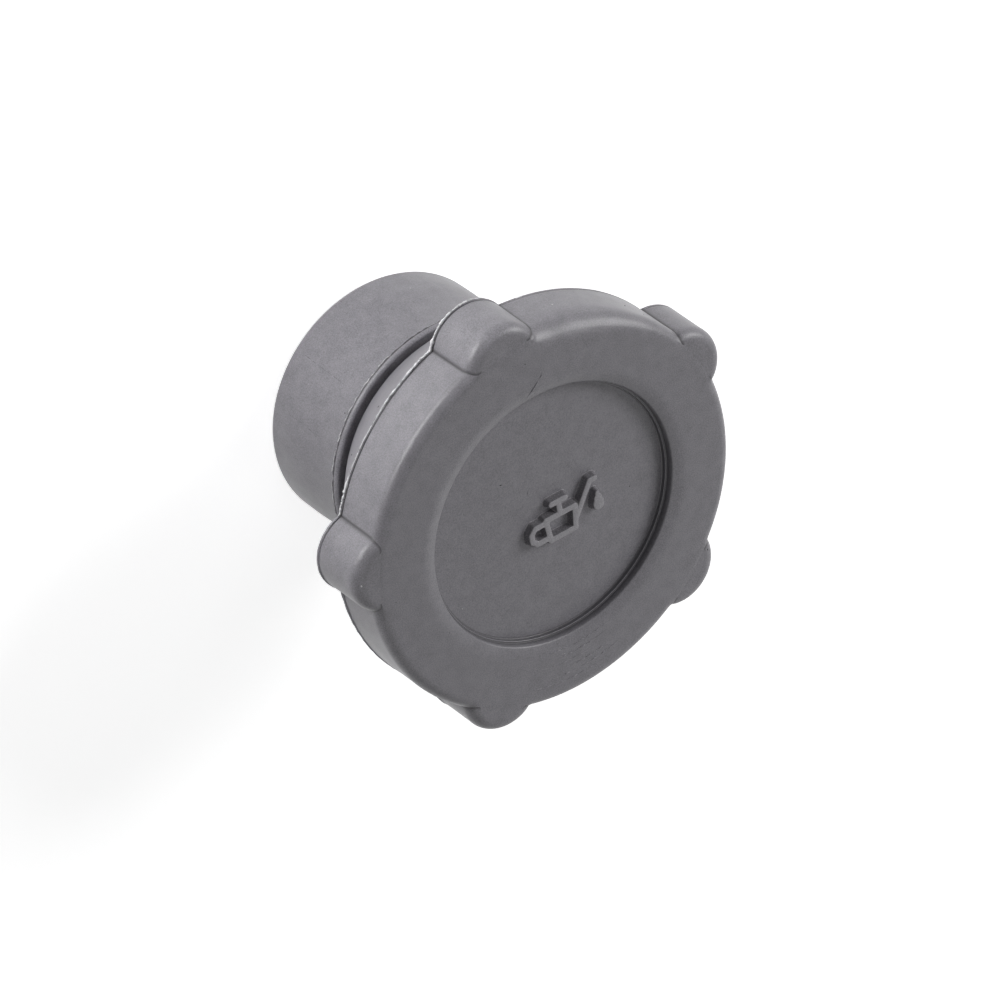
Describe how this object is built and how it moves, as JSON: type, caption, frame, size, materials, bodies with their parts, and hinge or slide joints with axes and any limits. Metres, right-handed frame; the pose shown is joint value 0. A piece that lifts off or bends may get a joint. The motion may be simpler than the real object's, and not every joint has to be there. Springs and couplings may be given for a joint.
{
  "type": "oil filler cap",
  "caption": "Push-in rubber oil filler cap: thick round head with grip lobes and a recessed face, conical skirt, groove and a hollow plug with a retaining lip.",
  "frame": {"origin": "on the cap's axis, in the plane of the plug's open end, on which the cap stands", "axes": "+Z along the cap's axis from the plug's open end to the face, +Y through one of the grip lobes"},
  "size_m": [0.0696, 0.069, 0.0464],
  "materials": {
    "moulded_rubber": "satin"
  },
  "bodies": {
    "root": {"cap": "moulded_rubber"}
  },
  "joints": []
}
